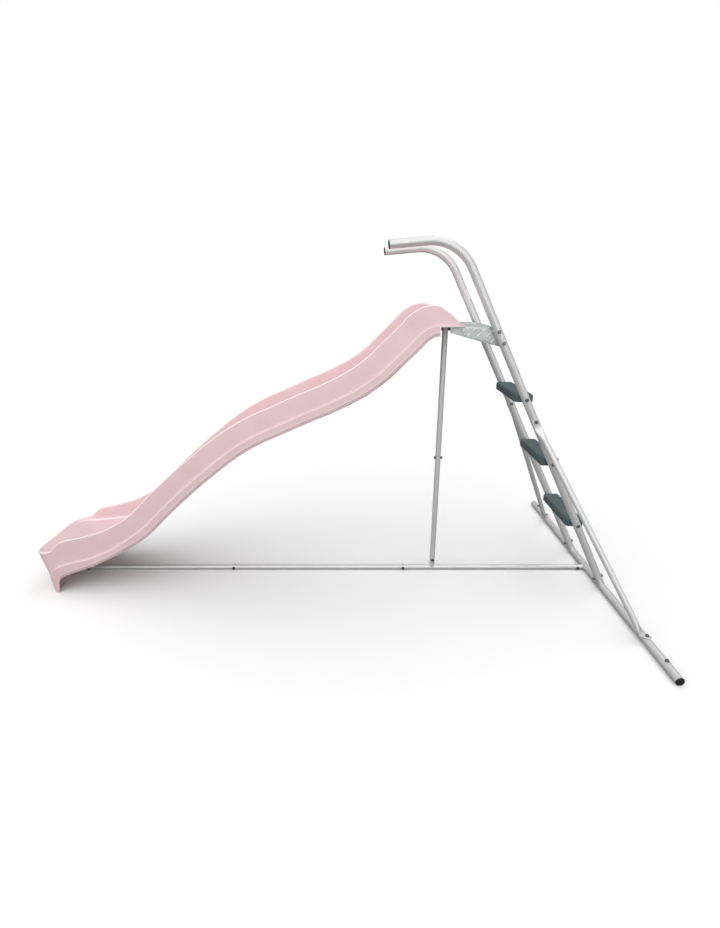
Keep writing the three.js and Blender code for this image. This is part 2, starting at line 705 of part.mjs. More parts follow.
const bracket = { thickness: 4, low: 4, high: 96, halfWidth: 80 };

// A sloping plate behind the chute's front panel, on a plug in the ground tube's front end.
function footBracket() {
  const inside = foot.bottomX + footSkin + gap;
  const plateX = (z) => inside - z / Math.tan(footSlope);
  const { thickness, low, high, halfWidth } = bracket;
  let body = sideOutline([
    [plateX(low), low], [plateX(low) + thickness, low],
    [plateX(high) + thickness, high], [plateX(high), high],
  ], halfWidth);
  const start = groundAt(plateX(ground.z) - 12);
  const plug = solidOf(rod(start, groundAt(ground.frontX + 60), slimTube.insert, slimTube.facets));
  const collar = solidOf(rod(start, groundAt(ground.frontX - gap), slimTube.radius, slimTube.facets));
  body = body.add(plug.add(collar).subtract(aheadOfFoot(footSkin + gap)));
  body = drill(body, groundAt(ground.frontX + groundBolt.front), alongY);
  sides.forEach(([, side]) => { body = drill(body, footPoint(side), footNormal, 20); });
  return body;
}

addPiece("chute_foot_bracket", footBracket(), treadSteel);

// ---------------------------------------------------------------- all the bolts

const wideGrip = 2 * wideSeat;
const slimGrip = 2 * slimSeat;
const lowHead = { height: 3, radius: 6 };

sides.forEach(([name, side]) => {
  const outward = vec(0, side, 0);
  const inward = outward.clone().negate();
  const outside = (point, extra = 0) => point.clone().addScaledVector(outward, wideSeat + extra);

  addBolt(`stile_base_bolt_${name}`, stilePoint(stileBoltT, side).addScaledVector(stileNormal, wideSeat),
    stileNormal.clone().negate(), wideGrip);
  addBolt(`brace_top_bolt_${name}`, outside(stilePoint(stile.joint, side), tabGap), inward,
    wideGrip + tabGap);
  addBolt(`brace_foot_bolt_${name}`, vec(base.x, side * braceFootY, base.z + wideSeat + tabGap),
    up.clone().negate(), 11.2);
  addBolt(`anchor_bolt_${name}`, vec(base.x, side * anchorY, base.z + wideSeat), up.clone().negate(), 6);

  step.heights.forEach((z, k) => {
    addBolt(`step_bolt_${stepNames[k]}_${name}`, outside(stileAtHeight(z, side)), inward,
      wideGrip + step.endWall + gap);
  });
  deckBoltHeights.forEach((z, k) => {
    addBolt(`platform_bolt_${["low", "high"][k]}_${name}`, outside(stileAtHeight(z, side)), inward,
      wideGrip + skirtThickness + gap);
  });
  const tongueTop = deck.top + chute.skin + 3 * gap;
  addBolt(`chute_top_bolt_${name}`, vec(chuteBolt.x, side * chuteBolt.y, tongueTop),
    up.clone().negate(), 16, lowHead.height, lowHead.radius);
  addBolt(`chute_foot_bolt_${name}`, footPoint(side).addScaledVector(footNormal, -gap), footNormal,
    12, lowHead.height, lowHead.radius);
});

const crossBolts = [
  ["ground_joint_bolt_front", ground.seamA - groundBolt.seamA, ground.z],
  ["ground_joint_bolt_rear", ground.seamB - groundBolt.seamB, ground.z],
  ["ground_front_bolt", ground.frontX + groundBolt.front, ground.z],
  ["ground_base_bolt", base.x - groundBolt.base, ground.z],
  ["post_base_bolt", post.x, post.baseBoltZ],
];
crossBolts.forEach(([name, x, z]) => addBolt(name, vec(x, -slimSeat, z), alongY, slimGrip));
addBolt("post_joint_bolt", vec(post.x - slimSeat, 0, post.jointZ), alongX, slimGrip);
addBolt("post_head_bolt", vec(post.x - slimSeat, 0, post.topBoltZ), alongX, slimGrip);

export default slide;
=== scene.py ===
"""Free-standing wave slide: moulded chute, bolted steel-tube frame, checker-plate platform, three steps.

Lengths are written in millimetres and turned to metres where a mesh is made. +X runs from the
chute's exit to the ladder, +Z is up, and the slide is symmetric about Y = 0.
"""

import bmesh
import bpy
import math
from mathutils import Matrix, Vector


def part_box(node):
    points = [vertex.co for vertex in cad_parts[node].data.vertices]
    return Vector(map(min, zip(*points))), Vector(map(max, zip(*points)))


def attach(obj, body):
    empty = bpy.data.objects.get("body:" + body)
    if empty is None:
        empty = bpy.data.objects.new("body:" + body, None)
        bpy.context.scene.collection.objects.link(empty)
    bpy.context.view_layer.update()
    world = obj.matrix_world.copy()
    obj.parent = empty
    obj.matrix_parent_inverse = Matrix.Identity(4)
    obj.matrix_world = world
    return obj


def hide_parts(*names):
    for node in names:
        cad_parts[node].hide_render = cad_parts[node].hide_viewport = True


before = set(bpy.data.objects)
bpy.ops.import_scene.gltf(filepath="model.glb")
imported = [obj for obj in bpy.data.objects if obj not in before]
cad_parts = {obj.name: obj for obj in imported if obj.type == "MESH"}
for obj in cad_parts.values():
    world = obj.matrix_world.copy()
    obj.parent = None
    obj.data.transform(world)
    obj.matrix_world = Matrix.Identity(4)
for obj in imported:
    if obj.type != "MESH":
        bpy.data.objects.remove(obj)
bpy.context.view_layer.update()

MM = 0.001
UP = Vector((0, 0, 1))
ALONG_X = Vector((1, 0, 0))
ALONG_Y = Vector((0, 1, 0))
SIDES = {"left": 1, "right": -1}

# ---------------------------------------------------------------- camera

CAMERA_PLACE = (0.2014, -2.456, 1.520)
CAMERA_PITCH = 19.589
LENS = 18.87


def add_camera():
    data = bpy.data.cameras.new("camera")
    data.sensor_width = 36
    data.lens = LENS
    data.clip_start = 0.05
    camera = bpy.data.objects.new("camera", data)
    camera.location = CAMERA_PLACE
    camera.rotation_euler = (math.radians(90 - CAMERA_PITCH), 0, 0)
    bpy.context.scene.collection.objects.link(camera)
    bpy.context.scene.camera = camera


add_camera()

# ---------------------------------------------------------------- driving dimensions

HALF_LENGTH = 1525
WIDE, SLIM = 19, 14  # tube radii
WALL = 1.5
GAP = 0.3
CAP_DEPTH = 6

BASE_X, BASE_Z, BASE_HALF, BASE_SEAM = 1506, 19, 891, 580
BRACE_FOOT_Y = 636

STILE_Y, STILE_FOOT, STILE_LEAN = 195.5, (1504, 25), 27.24
STILE_SEAM, STILE_JOINT = 1060, 1022.4
RAIL_RADIUS, RAIL_END, RAIL_DROOP = 206, (321, 1707), 4.8

GROUND_Z, GROUND_FRONT, GROUND_SEAMS = 14, -1392, (-509, 477)
POST_X, POST_SEAM = 617, 722

DECK_TOP, DECK_FRONT, DECK_REAR, DECK_LIP = 1368, 612, 806, 30
STEP_DEPTH, STEP_HEIGHT = 88, 36
STEP_HEIGHTS = {"lower": 383, "middle": 718, "upper": 1039}

WIDE_SEAT = WIDE / math.cos(math.pi / 16) + GAP
TREAD_HALF = STILE_Y - WIDE_SEAT

LEAN = math.radians(STILE_LEAN)
STILE_RUN = Vector((-math.sin(LEAN), 0, math.cos(LEAN)))
STILE_NORMAL = Vector((math.cos(LEAN), 0, math.sin(LEAN)))


def stile_point(distance, side):
    return Vector((STILE_FOOT[0], side * STILE_Y, STILE_FOOT[1])) + distance * STILE_RUN


def stile_at_height(z, side):
    return stile_point((z - STILE_FOOT[1]) / STILE_RUN.z, side)


# ---------------------------------------------------------------- materials


def linear(colour):
    """A six-digit sRGB hex colour as linear RGBA."""
    channels = [int(colour[k : k + 2], 16) / 255 for k in (0, 2, 4)]
    return tuple(c / 12.92 if c <= 0.04045 else ((c + 0.055) / 1.055) ** 2.4 for c in channels) + (1,)


def add(tree, kind, values=None, links=None, **settings):
    """Adds a shader node with its settings, its sockets' values and its links."""
    made = tree.nodes.new("ShaderNode" + kind)
    for name, value in settings.items():
        setattr(made, name, value)
    for socket, value in (values or {}).items():
        made.inputs[socket].default_value = value
    for socket, source in (links or {}).items():
        tree.links.new(source, made.inputs[socket])
    return made


def new_material(name, **shader_values):
    """A Principled material with fixed socket values. Returns it with its tree and its shader."""
    material = bpy.data.materials.new(name)
    material.use_nodes = True
    tree = material.node_tree
    tree.nodes.clear()
    values = {key.replace("_", " "): value for key, value in shader_values.items()}
    shader = add(tree, "BsdfPrincipled", values)
    add(tree, "OutputMaterial", links={"Surface": shader.outputs[0]})
    return material, tree, shader


def noise_at(tree, place, size, detail=2.0, **values):
    """Noise with features about size millimetres across."""
    inputs = {"Scale": 1 / (size * MM), "Detail": detail} | values
    return add(tree, "TexNoise", inputs, {"Vector": place}).outputs["Fac"]


def remap(tree, source, low, high, start=0.3, end=0.7):
    """Stretches a noise value between start and end to low and high."""
    values = {"From Min": start, "From Max": end, "To Min": low, "To Max": high}
    return add(tree, "MapRange", values, {"Value": source}).outputs[0]


def mix(tree, factor, first, second, blend="MIX"):
    """Mixes two colours. Each is a linear RGBA or a socket."""
    values, links = {}, {}
    for socket, part in ((0, factor), (6, first), (7, second)):
        (links if isinstance(part, bpy.types.NodeSocket) else values)[socket] = part
    return add(tree, "Mix", values, links, data_type="RGBA", blend_type=blend).outputs[2]


def bump(tree, shader, height, distance, strength=1.0, under=None):
    links = {"Height": height} | ({"Normal": under} if under else {})
    made = add(tree, "Bump", {"Distance": distance * MM, "Strength": strength}, links)
    tree.links.new(made.outputs[0], shader.inputs["Normal"])
    return made.outputs[0]


def place_of(tree):
    return add(tree, "TexCoord").outputs["Object"]


def moulded_polyethylene():
    """Moulded polyethylene: a satin skin with faint cloudy colour, orange peel, and a painted highlight that
    makes its rims and edges paler.
    """
    material, tree, shader = new_material("moulded_polyethylene", Roughness=0.42, IOR=1.52)
    place = place_of(tree)
    cloud = remap(tree, noise_at(tree, place, 120), 0, 1)
    grain = remap(tree, noise_at(tree, place, 9, 3), 0, 1)
    pink = mix(tree, cloud, linear("E2C3C6"), linear("E8CBCE"))
    speckled = mix(tree, mix(tree, grain, (0, 0, 0, 1), (0.35, 0.35, 0.35, 1)), pink, linear("DFBCC0"))
    # A vertex weight marks the rims, shoulders and cut edges. There a near-white painted highlight is mixed
    # over the pink.
    edge = add(tree, "Attribute", attribute_name="painted_highlight").outputs["Fac"]
    final = mix(tree, edge, speckled, linear("FDF1F1"))
    tree.links.new(final, shader.inputs["Base Color"])
    tree.links.new(remap(tree, noise_at(tree, place, 40), 0.36, 0.5), shader.inputs["Roughness"])
    # A slow waviness lies under the orange peel, which is about 1.5 mm across and drawn at 4 mm to show.
    wide = bump(tree, shader, noise_at(tree, place, 60), 0.6, 0.35)
    bump(tree, shader, noise_at(tree, place, 4, 1), 0.12, 0.5, wide)
    return material


def powder_coated_steel():
    """Silver powder coat on steel: even grey, a soft metallic sheen and very fine orange peel."""
    material, tree, shader = new_material(
        "powder_coated_steel", Metallic=0.4, Roughness=0.34, IOR=1.5, Coat_Weight=0.2, Coat_Roughness=0.2
    )
    place = place_of(tree)
    cloud = remap(tree, noise_at(tree, place, 70), 0, 1)
    fleck = remap(tree, noise_at(tree, place, 2.5, 1), 0, 0.5)
    grey = mix(tree, cloud, linear("D6D6D6"), linear("DEDEDE"))
    tree.links.new(mix(tree, fleck, grey, linear("E8E8E8")), shader.inputs["Base Color"])
    tree.links.new(remap(tree, noise_at(tree, place, 25), 0.32, 0.42), shader.inputs["Roughness"])
    # The coat's peel is about 1 mm across and is drawn at 2 mm.
    bump(tree, shader, noise_at(tree, place, 2, 1), 0.05, 0.4)
    return material


def galvanised_plate():
    """Hot-dip galvanised steel sheet: dull metal with a faint crystal spangle, and a painted highlight on the
    tread bars' tops.
    """
    material, tree, shader = new_material("galvanised_plate", Metallic=0.75, Roughness=0.45)
    place = place_of(tree)
    spangle = add(tree, "TexVoronoi", {"Scale": 1 / (11 * MM)}, {"Vector": place}).outputs["Color"]
    shade = add(tree, "SeparateColor", links={0: spangle}).outputs[0]
    metal = mix(tree, shade, linear("BFC5C3"), linear("D0D6D3"))
    # A vertex weight marks the tops of the tread bars. There a near-white painted highlight is mixed over the
    # metal.
    painted_bar_highlight = add(tree, "Attribute", attribute_name="painted_bar_highlight").outputs["Fac"]
    tree.links.new(mix(tree, painted_bar_highlight, metal, linear("F2F4F2")), shader.inputs["Base Color"])
    tree.links.new(remap(tree, noise_at(tree, place, 14, 4), 0.36, 0.54), shader.inputs["Roughness"])
    bump(tree, shader, noise_at(tree, place, 3, 2), 0.05, 0.4)
    return material


def zinc_plated_steel():
    """Zinc plating gone dull outdoors: mid-grey metal with small changes in tone and shine."""
    material, tree, shader = new_material("zinc_plated_steel", Metallic=1.0, Roughness=0.3)
    place = place_of(tree)
    tone = remap(tree, noise_at(tree, place, 6, 3), 0, 1)
    tree.links.new(mix(tree, tone, linear("6C6D6B"), linear("8F8F8B")), shader.inputs["Base Color"])
    tree.links.new(remap(tree, noise_at(tree, place, 3, 2), 0.22, 0.4), shader.inputs["Roughness"])
    return material


def black_polyethylene():
    """Black moulded polyethylene: dull, nearly black, lightly grained."""
    material, tree, shader = new_material("black_polyethylene", Roughness=0.5, IOR=1.52)
    place = place_of(tree)
    tone = remap(tree, noise_at(tree, place, 12), 0, 1)
    tree.links.new(mix(tree, tone, linear("101011"), linear("1A1A1B")), shader.inputs["Base Color"])
    bump(tree, shader, noise_at(tree, place, 1.5, 2), 0.05, 0.5)
    return material


def grained_polypropylene():
    """Slate polypropylene with a moulded grain: matt, with small pits that keep feet from slipping."""
    material, tree, shader = new_material("grained_polypropylene", Roughness=0.6, IOR=1.49)
    place = place_of(tree)
    cloud = remap(tree, noise_at(tree, place, 60), 0, 1)
    grain = add(tree, "TexVoronoi", {"Scale": 1 / (3.5 * MM)}, {"Vector": place}).outputs["Distance"]
    slate = mix(tree, cloud, linear("4B5B61"), linear("57676B"))
    tree.links.new(mix(tree, remap(tree, grain, 0.6, 0, 0, 0.6), slate, linear("3E4C51")),
                   shader.inputs["Base Color"])
    tree.links.new(remap(tree, noise_at(tree, place, 18), 0.52, 0.68), shader.inputs["Roughness"])
    # The grain is about 1 mm across and is drawn at 3.5 mm.
    bump(tree, shader, grain, 0.25, 0.6)
    return material


def vinyl_label():
    """White vinyl film: smooth, with a clean shine, and blank."""
    material, tree, shader = new_material("vinyl_label", Roughness=0.3, IOR=1.5)
    tone = remap(tree, noise_at(tree, place_of(tree), 15), 0, 1)
    tree.links.new(mix(tree, tone, linear("F3F3F1"), linear("FBFBFA")), shader.inputs["Base Color"])
    return material


PINK = moulded_polyethylene()
STEEL = powder_coated_steel()
PLATE = galvanised_plate()
ZINC = zinc_plated_steel()
BLACK = black_polyethylene()
SLATE = grained_polypropylene()
VINYL = vinyl_label()

# ---------------------------------------------------------------- shape helpers


def join(*shapes):
    """Several (points, faces) shapes as one."""
    points, faces = [], []
    for shape_points, shape_faces in shapes:
        start = len(points)
        points += shape_points
        faces += [tuple(start + k for k in face) for face in shape_faces]
    return points, faces


def across(direction):
    """Two unit vectors square to a direction."""
    first = ALONG_Y if abs(direction.y) < 0.9 else ALONG_X
    first = (first - first.dot(direction) * direction).normalized()
    return first, direction.cross(first)


def ring(centre, direction, radius, count=48):
    """A circle of points, or a closed curve where radius is a function of the angle."""
    first, second = across(direction)
    points = []
    for k in range(count):
        angle = 2 * math.pi * k / count
        reach = radius(angle) if callable(radius) else radius
        points.append(centre + reach * (math.cos(angle) * first + math.sin(angle) * second))
    return points


def loft(rings, closed=False, caps=False):
    """Faces through a row of rings with equal numbers of points."""
    count = len(rings[0])
    points = [point for row in rings for point in row]
    faces = []
    last = len(rings) if closed else len(rings) - 1
    for row in range(last):
        below, above = row * count, (row + 1) % len(rings) * count
        for k in range(count):
            after = (k + 1) % count
            faces.append((below + k, below + after, above + after, above + k))
    if caps:
        faces.append(tuple(range(count - 1, -1, -1)))
        faces.append(tuple(range(len(points) - count, len(points))))
    return points, faces


def lathe(profile, origin, direction, count=48):
    """Turns a profile of (radius, distance) about an axis, with its two ends closed."""
    rings = [ring(origin + distance * direction, direction, radius, count) for radius, distance in profile]
    return loft(rings, caps=True)


def coped(points, run, axis_point, axis, radius):
    """Slides a ring along the tube until it meets another tube's surface."""
    flat = run - run.dot(axis) * axis
    moved = []
    for point in points:
        offset = point - axis_point
        offset = offset - offset.dot(axis) * axis
        half = offset.dot(flat)
        inside = half**2 - flat.length_squared * (offset.length_squared - radius**2)
        moved.append(point + (math.sqrt(max(inside, 0)) - half) / flat.length_squared * run)
    return moved


def tube(path, outer, cope=None, count=48):
    """An open-ended tube along a path, with a small chamfer on its rims."""
    chamfer = 0.6
    runs = []
    for k in range(len(path)):
        before, after = path[max(k - 1, 0)], path[min(k + 1, len(path) - 1)]
        runs.append((after - before).normalized())
    first, last = path[0], path[-1]
    rings = []
    if cope:
        rings.append(coped(ring(first, runs[0], outer, count), runs[0], *cope))
    else:
        rings.append(ring(first, runs[0], outer - chamfer, count))
        rings.append(ring(first + chamfer * runs[0], runs[0], outer, count))
    rings += [ring(p, r, outer, count) for p, r in zip(path[1:-1], runs[1:-1])]
    rings.append(ring(last - chamfer * runs[-1], runs[-1], outer, count))
    rings.append(ring(last, runs[-1], outer - chamfer, count))
    inner = outer - WALL
    rings += [ring(p, r, inner, count) for p, r in zip(reversed(path[1:]), reversed(runs[1:]))]
    inner_start = ring(first, runs[0], inner, count)
    rings.append(coped(inner_start, runs[0], *cope) if cope else inner_start)
    return loft(rings, closed=True)


def slab(outline, low, high, axis=1):
    """A flat outline, given in the two other axes' order, as a plate between low and high."""
    points = []
    for level in (low, high):
        for pair in outline:
            point = list(pair)
            point.insert(axis, level)
            points.append(Vector(point))
    count = len(outline)
    faces = [tuple(range(count)), tuple(range(2 * count - 1, count - 1, -1))]
    faces += [(k, (k + 1) % count, count + (k + 1) % count, count + k) for k in range(count)]
    return points, faces


def grid(rows):
    """Faces over rows of equal length, open at the edges."""
    count = len(rows[0])
    faces = []
    for row in range(len(rows) - 1):
        for k in range(count - 1):
            start = row * count + k
            faces.append((start, start + 1, start + count + 1, start + count))
    return [point for row in rows for point in row], faces


def piece(name, shape, material, replaces=(), bevel=0.0, skin=0.0, weights=None, front=None, sharp=32):
    """Makes a shown piece from a shape in millimetres and ties it to the frame.

    An open sheet gives front, the way that most of its surface looks.
    """
    points, faces = shape
    mesh = bpy.data.meshes.new(name)
    work = bmesh.new()
    layers = {title: work.verts.layers.float.new(title) for title in weights or {}}
    corners = [work.verts.new(Vector(p) * MM) for p in points]
    for title, values in (weights or {}).items():
        for corner, value in zip(corners, values):
            corner[layers[title]] = value
    for face in faces:
        if len({points[k].to_tuple(4) if isinstance(points[k], Vector) else k for k in face}) > 2:
            work.faces.new([corners[k] for k in face])
    bmesh.ops.remove_doubles(work, verts=work.verts, dist=0.02 * MM)
    bmesh.ops.recalc_face_normals(work, faces=work.faces)
    if front and sum(face.normal.dot(front) * face.calc_area() for face in work.faces) < 0:
        bmesh.ops.reverse_faces(work, faces=work.faces)
    work.to_mesh(mesh)
    work.free()
    mesh.shade_smooth()
    mesh.set_sharp_from_angle(angle=math.radians(sharp))
    mesh.materials.append(material)
    made = bpy.data.objects.new(name, mesh)
    bpy.context.scene.collection.objects.link(made)
    if skin:
        solidify = made.modifiers.new("skin", "SOLIDIFY")
        solidify.thickness = skin * MM
        solidify.offset = -1
    if bevel:
        edge = made.modifiers.new("edge", "BEVEL")
        edge.width = bevel * MM
        edge.segments = 3
        edge.limit_method = "ANGLE"
        edge.angle_limit = math.radians(40)
        edge.harden_normals = False
    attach(made, "root")
    if replaces:
        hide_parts(*replaces)
    return made


def smooth(points):
    """A smooth height through a few points, read at any x between them."""
    slopes = []
    for k in range(len(points)):
        before, after = points[max(k - 1, 0)], points[min(k + 1, len(points) - 1)]
        slopes.append((after[1] - before[1]) / (after[0] - before[0]))

    def height(x):
        k = next((i for i, p in enumerate(points) if p[0] >= x), len(points) - 1)
        k = max(k, 1)
        (x0, y0), (x1, y1) = points[k - 1], points[k]
        span = x1 - x0
        t = min(max((x - x0) / span, 0), 1)
        rise = (2 * t**3 - 3 * t**2 + 1) * y0 + (3 * t**2 - 2 * t**3) * y1
        return rise + ((t**3 - 2 * t**2 + t) * slopes[k - 1] + (t**3 - t**2) * slopes[k]) * span

    return height


def spread(first, last, count):
    return [first + (last - first) * k / count for k in range(count + 1)]


# ---------------------------------------------------------------- base tube, stiles and handrails


def base_point(y):
    return Vector((BASE_X, y, BASE_Z))


piece("base_tube_middle_section", tube([base_point(-BASE_SEAM), base_point(BASE_SEAM)], WIDE),
      STEEL, ["base_tube_center"])


def cap_shape(seat, direction, radius):
    """A black end cap: a plug, a thin collar and a softly domed face."""
    profile = [(0.01, -20), (radius - 3.5, -20), (radius - 2.7, -18), (radius - 2.7, -0.3), (radius - 0.4, 0)]
    profile += [(radius, 0.4), (radius, 1.6)]
    for angle in spread(0, 90, 6):
        turn = math.radians(angle)
        profile.append((radius - 3 + 3 * math.cos(turn), 1.6 + 2 * math.sin(turn)))
    profile += [((radius - 3) * k, 3.6 + 2.3 * (1 - k * k)) for k in (0.75, 0.5, 0.25, 0.001)]
    return lathe(profile, seat, direction)


BASE_CUT = (base_point(0), ALONG_Y, WIDE + 0.2)

for name, side in SIDES.items():
    start, end = base_point(side * (BASE_SEAM + GAP)), base_point(side * (BASE_HALF - CAP_DEPTH - GAP))
    piece(f"base_tube_outer_section_{name}", tube([start, end], WIDE), STEEL,
          [f"base_tube_end_{name}"])
    seat = base_point(side * (BASE_HALF - CAP_DEPTH))
    piece(f"base_tube_end_cap_{name}", cap_shape(seat, Vector((0, side, 0)), WIDE), BLACK,
          [f"base_cap_{name}"])
    piece(f"lower_stile_{name}", tube([stile_point(0, side), stile_point(STILE_SEAM, side)], WIDE, BASE_CUT),
          STEEL, [f"stile_lower_{name}"])


def handrail_path(side):
    """The rail's centre line: up the stile, round the bend and along to its free end."""
    droop = math.radians(RAIL_DROOP)
    level = Vector((-math.cos(droop), 0, -math.sin(droop)))
    end = Vector((RAIL_END[0] + CAP_DEPTH, side * STILE_Y, RAIL_END[1]))
    turn = STILE_RUN.angle(level)
    reach = end - stile_point(0, side)
    crossing = STILE_RUN.x * level.z - STILE_RUN.z * level.x
    corner = (reach.x * level.z - reach.z * level.x) / crossing
    bend_start = stile_point(corner - RAIL_RADIUS * math.tan(turn / 2), side)
    inward = Vector((-STILE_RUN.z, 0, STILE_RUN.x))
    centre = bend_start + RAIL_RADIUS * inward
    path = [stile_point(STILE_SEAM + GAP, side)]
    for angle in spread(0, turn, 30):
        outward = math.sin(angle) * STILE_RUN - math.cos(angle) * inward
        path.append(centre + RAIL_RADIUS * outward)
    path.append(end)
    return path, level


RAIL_LEVEL = handrail_path(1)[1]

for name, side in SIDES.items():
    path, level = handrail_path(side)
    piece(f"bent_handrail_{name}", tube(path, WIDE), STEEL, [f"handrail_{name}"])
    piece(f"handrail_end_cap_{name}", cap_shape(path[-1] + GAP * level, level, WIDE), BLACK,
          [f"handrail_cap_{name}"])

# ---------------------------------------------------------------- outer braces


def pressed_ring(centre, wide, thin, half_wide, half_thin, roundness, count=40):
    """One section of a tube pressed flat: a soft box at roundness 0.3, an ellipse at 1."""
    points = []
    for k in range(count):
        angle = 2 * math.pi * k / count
        c, s = math.cos(angle), math.sin(angle)
        width = half_wide * math.copysign(abs(c) ** roundness, c)
        height = half_thin * math.copysign(abs(s) ** roundness, s)
        points.append(centre + width * wide + height * thin)
    return points


def pressed_end(bolt, tab_run, tab_normal, tube_run, length):
    """Rings of a round-ended flat tab that opens out into the round tube."""
    half_tab, half_thick, opening_out, steps = 18, 1.8, 62, 14
    wide = tab_normal.cross(tab_run).normalized()
    tube_wide = (wide - wide.dot(tube_run) * tube_run).normalized()
    tube_thin = tube_run.cross(tube_wide).normalized()
    if tube_thin.dot(tab_normal) < 0:
        tube_thin.negate()
    rings = []
    for d in (-17.9, -17, -15, -12, -8, -4, 0):
        half_wide = math.sqrt(half_tab**2 + 0.1 - d * d)
        rings.append(pressed_ring(bolt + d * tab_run, wide, tab_normal, half_wide, half_thick, 0.35))
    fold = bolt + length * tab_run
    for k in (0.5, 1):
        rings.append(pressed_ring(bolt + k * length * tab_run, wide, tab_normal, half_tab, half_thick, 0.35))
    for t in spread(0, 1, steps)[1:]:
        ease = t * t * (3 - 2 * t)
        centre = fold + opening_out * t * tube_run
        half_wide = half_tab + (SLIM - half_tab) * ease
        half_thin = half_thick + (SLIM - half_thick) * ease
        rings.append(pressed_ring(centre, tube_wide, tube_thin, half_wide, half_thin,
                                  0.35 + 0.65 * min(1, 1.6 * t)))
    return rings, fold


for name, side in SIDES.items():
    joint = stile_point(STILE_JOINT, side)
    top = Vector((joint.x, side * (STILE_Y + WIDE_SEAT + 1.8), joint.z))
    bottom = Vector((BASE_X, side * BRACE_FOOT_Y, BASE_Z + WIDE_SEAT + 1.8))
    down = bottom - top
    top_run = Vector((down.x, 0, down.z)).normalized()
    foot_run = Vector((-down.x, -down.y, 0)).normalized()
    run = (bottom + 24 * foot_run - top - 34 * top_run).normalized()
    upper, _ = pressed_end(top, top_run, ALONG_Y, run, 34)
    lower, _ = pressed_end(bottom, foot_run, UP, -run, 24)
    upper_shape, lower_shape = loft(upper, caps=True), loft(lower, caps=True)
    start, end = upper[-1], lower[-1]
    middle_start = sum(start, Vector()) / len(start)
    middle_end = sum(end, Vector()) / len(end)
    bar = lathe([(0.01, -1), (SLIM, -1), (SLIM, (middle_end - middle_start).length + 1),
                 (0.01, (middle_end - middle_start).length + 1)], middle_start, run)
    piece(f"side_brace_{name}", join(upper_shape, lower_shape, bar), STEEL,
          [f"outer_brace_{name}"])

# ---------------------------------------------------------------- ground tube and post


def ground_point(x):
    return Vector((x, 0, GROUND_Z))


def post_point(z):
    return Vector((POST_X, 0, z))


front_seam, rear_seam = GROUND_SEAMS
piece("ground_tube_front_section", tube([ground_point(GROUND_FRONT), ground_point(front_seam)], SLIM),
      STEEL, ["ground_tube_front"])
piece("ground_tube_middle_section", tube([ground_point(front_seam + GAP), ground_point(rear_seam)], SLIM),
      STEEL, ["ground_tube_middle"])
piece("ground_tube_rear_section", tube([ground_point(BASE_X), ground_point(rear_seam + GAP)], SLIM, BASE_CUT),
      STEEL, ["ground_tube_rear"])

POST_TOP = 1360.9
GROUND_CUT = (ground_point(0), ALONG_X, SLIM + 0.2)
piece("post_lower_section", tube([post_point(GROUND_Z), post_point(POST_SEAM)], SLIM, GROUND_CUT),
      STEEL, ["post_lower"])
piece("post_upper_section", tube([post_point(POST_SEAM + GAP), post_point(POST_TOP)], SLIM),
      STEEL, ["post_upper"])

HEAD_TOP = 1365.2
head_outline = [(594, -140), (680, -140), (680, 140), (594, 140)]
head_plate = slab(head_outline, HEAD_TOP - 4, HEAD_TOP, axis=2)
head_plug = lathe([(0.01, 0), (11, 0), (11.8, 1.5), (11.8, 60), (0.01, 60)], post_point(POST_TOP - 61), UP)
piece("post_head_plate", join(head_plate, head_plug), PLATE, ["post_head"], bevel=0.8)

# ---------------------------------------------------------------- platform

SKIRT_LOW = [(612, 1341), (761, 1299), (833, 1281), (877.8, 1276)]
SKIRT_HIGH = [(612, 1368), (806, 1368), (833.5, 1362), (877.8, 1276.5)]


def along(points, x):
    """A straight-line height through points."""
    for (x0, z0), (x1, z1) in zip(points, points[1:]):
        if x <= x1:
            return z0 + (z1 - z0) * max(x - x0, 0) / (x1 - x0)
    return points[-1][1]


def tray_shape():
    """The folded sheet: a top with soft folds, a rear lip and two skirts."""
    fold = 4
    w = TREAD_HALF
    shapes = []
    deck_rows = []
    stations = spread(DECK_FRONT, DECK_REAR - fold, 12)
    for x in stations:
        deck_rows.append([Vector((x, y, DECK_TOP)) for y in spread(-w + fold, w - fold, 10)])
    for angle in spread(0, 90, 5)[1:]:
        turn = math.radians(angle)
        x, z = DECK_REAR - fold + fold * math.sin(turn), DECK_TOP - fold + fold * math.cos(turn)
        deck_rows.append([Vector((x, y, z)) for y in spread(-w + fold, w - fold, 10)])
    deck_rows.append([Vector((DECK_REAR, y, DECK_TOP - DECK_LIP)) for y in spread(-w + fold, w - fold, 10)])
    shapes.append(grid(deck_rows))
    for side in SIDES.values():
        rows = []
        for x in stations:
            row = []
            for angle in spread(0, 90, 5):
                turn = math.radians(angle)
                y, z = w - fold + fold * math.sin(turn), DECK_TOP - fold + fold * math.cos(turn)
                row.append(Vector((x, side * y, z)))
            row += [Vector((x, side * w, z)) for z in spread(DECK_TOP - fold, along(SKIRT_LOW, x), 4)[1:]]
            rows.append(row)
        shapes.append(grid(rows))
        rows = []
        for x in spread(DECK_REAR - fold, 833.5, 4) + spread(833.5, 877.8, 6)[1:]:
            high = min(along(SKIRT_HIGH, x), DECK_TOP - fold)
            rows.append([Vector((x, side * w, z)) for z in spread(high, along(SKIRT_LOW, x), 4)])
        shapes.append(grid(rows))
    return join(*shapes)


